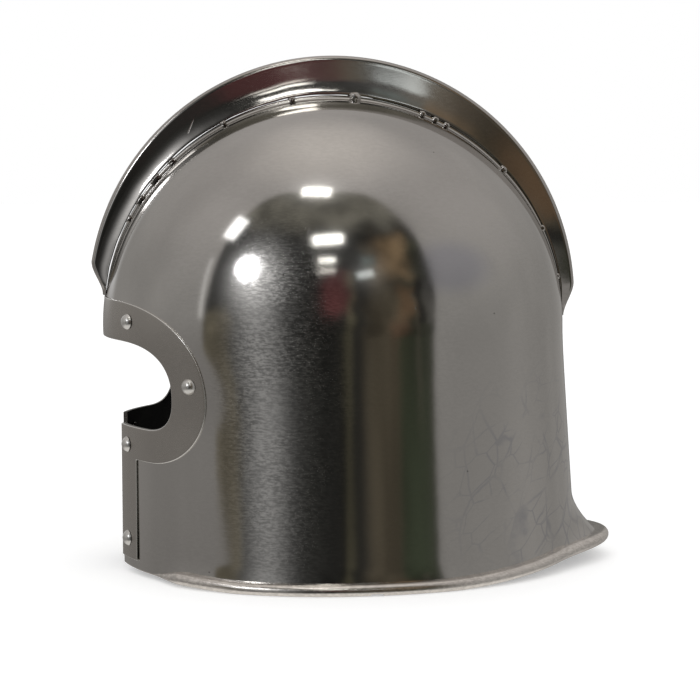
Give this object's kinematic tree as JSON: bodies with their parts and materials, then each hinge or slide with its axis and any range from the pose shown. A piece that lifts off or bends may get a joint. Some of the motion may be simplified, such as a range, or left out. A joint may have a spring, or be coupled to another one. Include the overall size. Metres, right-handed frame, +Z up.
{
  "type": "barbute helmet",
  "caption": "Open-faced Italian war helmet of steel sheet: domed skull with raised comb, T-shaped face opening with riveted edge band, rolled rim and short tail.",
  "frame": {"origin": "on the surface it stands on, under the middle of the bounding box", "axes": "+Z up, the face looks along -Y, the tail points along +Y, +X is the wearer's left"},
  "size_m": [0.2074, 0.2906, 0.2805],
  "materials": {
    "polished_steel": "polished sheet with fine hand scratches and faint stains",
    "comb_steel": "polished, darker towards the back, with weld marks along its foot",
    "satin_steel": "satin",
    "rivet_steel": "bright dome heads"
  },
  "bodies": {
    "root": {"skull": "polished_steel", "face_band": "satin_steel", "comb": "comb_steel", "rivet_brow_left": "rivet_steel", "rivet_brow_right": "rivet_steel", "rivet_temple_left": "rivet_steel", "rivet_temple_right": "rivet_steel", "rivet_cheek_left": "rivet_steel", "rivet_cheek_right": "rivet_steel", "rivet_chin_left": "rivet_steel", "rivet_chin_right": "rivet_steel"}
  },
  "joints": []
}
